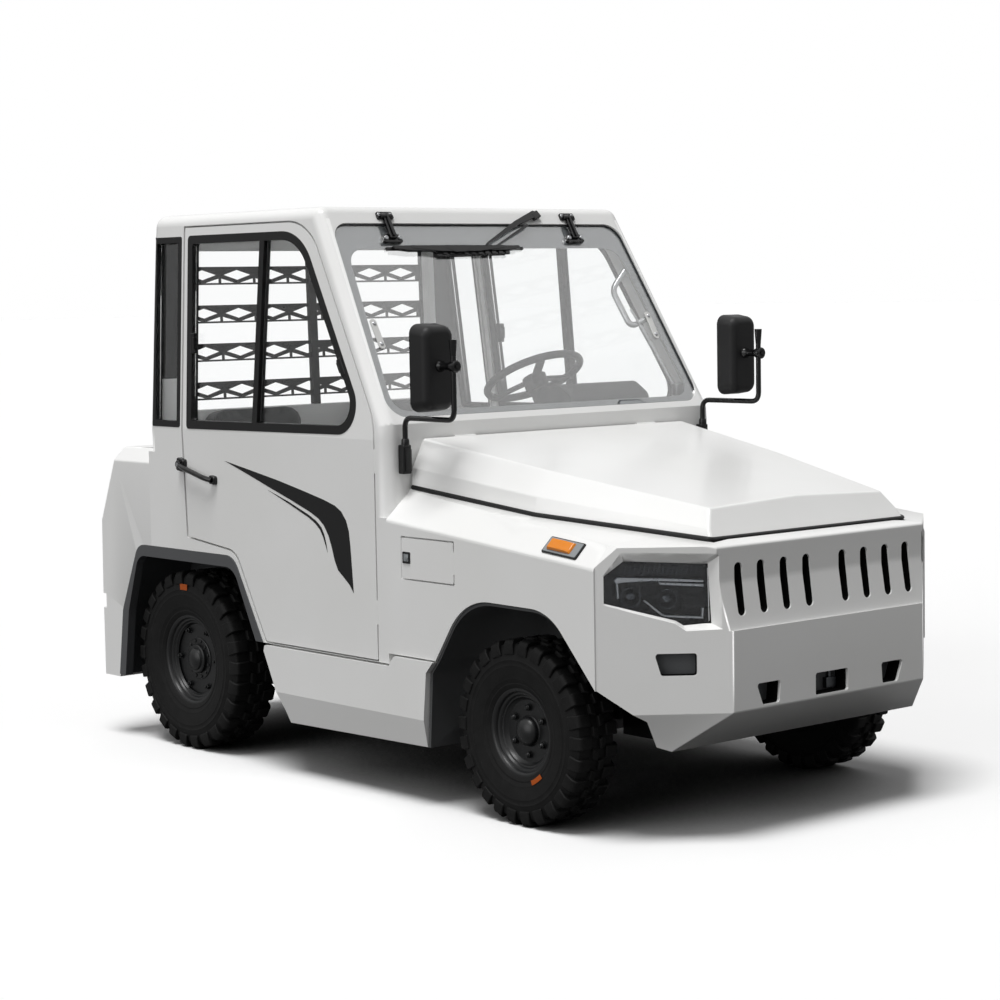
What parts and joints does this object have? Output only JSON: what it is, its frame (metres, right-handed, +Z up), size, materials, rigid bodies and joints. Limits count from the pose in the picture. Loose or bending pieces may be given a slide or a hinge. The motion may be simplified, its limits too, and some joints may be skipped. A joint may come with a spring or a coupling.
{
  "type": "airport baggage tug",
  "caption": "Airport baggage tug with a closed cab, sloping hood, slotted nose, chunky tyres and a rear tow jaw; doors, hood, fuel flap, steering and wheels move.",
  "frame": {"origin": "on the ground, under the middle of the bounding box", "axes": "+X forward, +Y to the driver's left, +Z up"},
  "size_m": [3.13, 1.592, 1.9713],
  "materials": {
    "white_paint": "gloss",
    "black_steel": "satin",
    "dark_steel": "satin",
    "tyre": "matte",
    "black_rim": "satin",
    "black_plastic": "textured",
    "grey_plastic": "textured",
    "glass": "clear",
    "lamp_glass": "smoked",
    "amber": "clear",
    "seat_vinyl": "grained vinyl",
    "steel": "machined",
    "cast": "cast"
  },
  "bodies": {
    "chassis": {"chassis_frame": "dark_steel", "cab_floor": "dark_steel", "cab_frame": "white_paint", "cab_roof": "white_paint", "fixed_glass": "glass", "quarter_trims": "black_plastic", "rear_guard": "black_steel", "front_fenders": "white_paint", "front_bumper": "white_paint", "headlamps": "lamp_glass", "front_arch_liners": "grey_plastic", "radiator": "black_steel", "engine_block": "cast", "side_skirts": "white_paint", "rear_body": "white_paint", "rear_arch_liners": "grey_plastic", "signal_lamps": "amber", "tow_coupling": "dark_steel", "tow_pin": "steel", "rear_axle": "dark_steel", "front_axle": "dark_steel", "seat_box": "dark_steel", "seat_cushions": "seat_vinyl", "seat_backs": "seat_vinyl", "dashboard": "black_plastic", "driver_controls": "black_plastic", "mirrors": "black_plastic", "screen_fittings": "black_steel"},
    "hood": {"hood": "white_paint"},
    "fuel_flap": {"fuel_flap": "white_paint"},
    "steering_wheel": {"steering_wheel": "black_plastic"},
    "door_right": {"door_panel_right": "white_paint", "door_trim_right": "black_plastic", "door_glass_right": "glass"},
    "knuckle_right": {"knuckle_right": "dark_steel"},
    "front_wheel_right": {"front_tyre_right": "tyre", "front_rim_right": "black_rim"},
    "rear_wheel_right": {"rear_tyre_right": "tyre", "rear_rim_right": "black_rim"},
    "door_left": {"door_panel_left": "white_paint", "door_trim_left": "black_plastic", "door_glass_left": "glass"},
    "knuckle_left": {"knuckle_left": "dark_steel"},
    "front_wheel_left": {"front_tyre_left": "tyre", "front_rim_left": "black_rim"},
    "rear_wheel_left": {"rear_tyre_left": "tyre", "rear_rim_left": "black_rim"}
  },
  "joints": [
    {"name": "hood_hinge", "type": "hinge", "parent": "chassis", "child": "hood", "pos_m": [0.313, 0, 1.189], "axis": [0, -1, 0], "range_deg": [0, 50]},
    {"name": "fuel_flap_hinge", "type": "hinge", "parent": "chassis", "child": "fuel_flap", "pos_m": [0.65318, -0.7577, 0.812], "axis": [0, 0, 1], "range_deg": [0, 100]},
    {"name": "door_right_hinge", "type": "hinge", "parent": "chassis", "child": "door_right", "pos_m": [0.253, -0.7573, 0.9], "axis": [0, 0, 1], "range_deg": [0, 70]},
    {"name": "steer_right", "type": "hinge", "parent": "chassis", "child": "knuckle_right", "pos_m": [0.9, -0.51, 0.295], "axis": [0, 0, 1], "range_deg": [-35, 35]},
    {"name": "front_wheel_right_spin", "type": "hinge", "parent": "knuckle_right", "child": "front_wheel_right", "pos_m": [0.9, -0.64, 0.295], "axis": [0, 1, 0], "continuous": true},
    {"name": "rear_wheel_right_spin", "type": "hinge", "parent": "chassis", "child": "rear_wheel_right", "pos_m": [-0.96, -0.63, 0.33], "axis": [0, 1, 0], "continuous": true},
    {"name": "door_left_hinge", "type": "hinge", "parent": "chassis", "child": "door_left", "pos_m": [0.253, 0.7573, 0.9], "axis": [0, 0, -1], "range_deg": [0, 70]},
    {"name": "steer_left", "type": "hinge", "parent": "chassis", "child": "knuckle_left", "pos_m": [0.9, 0.51, 0.295], "axis": [0, 0, 1], "range_deg": [-35, 35]},
    {"name": "front_wheel_left_spin", "type": "hinge", "parent": "knuckle_left", "child": "front_wheel_left", "pos_m": [0.9, 0.64, 0.295], "axis": [0, 1, 0], "continuous": true},
    {"name": "rear_wheel_left_spin", "type": "hinge", "parent": "chassis", "child": "rear_wheel_left", "pos_m": [-0.96, 0.63, 0.33], "axis": [0, 1, 0], "continuous": true},
    {"name": "steering_wheel_turn", "type": "hinge", "parent": "chassis", "child": "steering_wheel", "pos_m": [-0.19, 0.33, 1.35], "axis": [-0.4695, 0, 0.8829], "range_deg": [-430, 430]}
  ],
  "couplings": [
    {"joint": "steer_right", "follows": "steer_left", "ratio": 1},
    {"joint": "steering_wheel_turn", "follows": "steer_left", "ratio": 12}
  ]
}
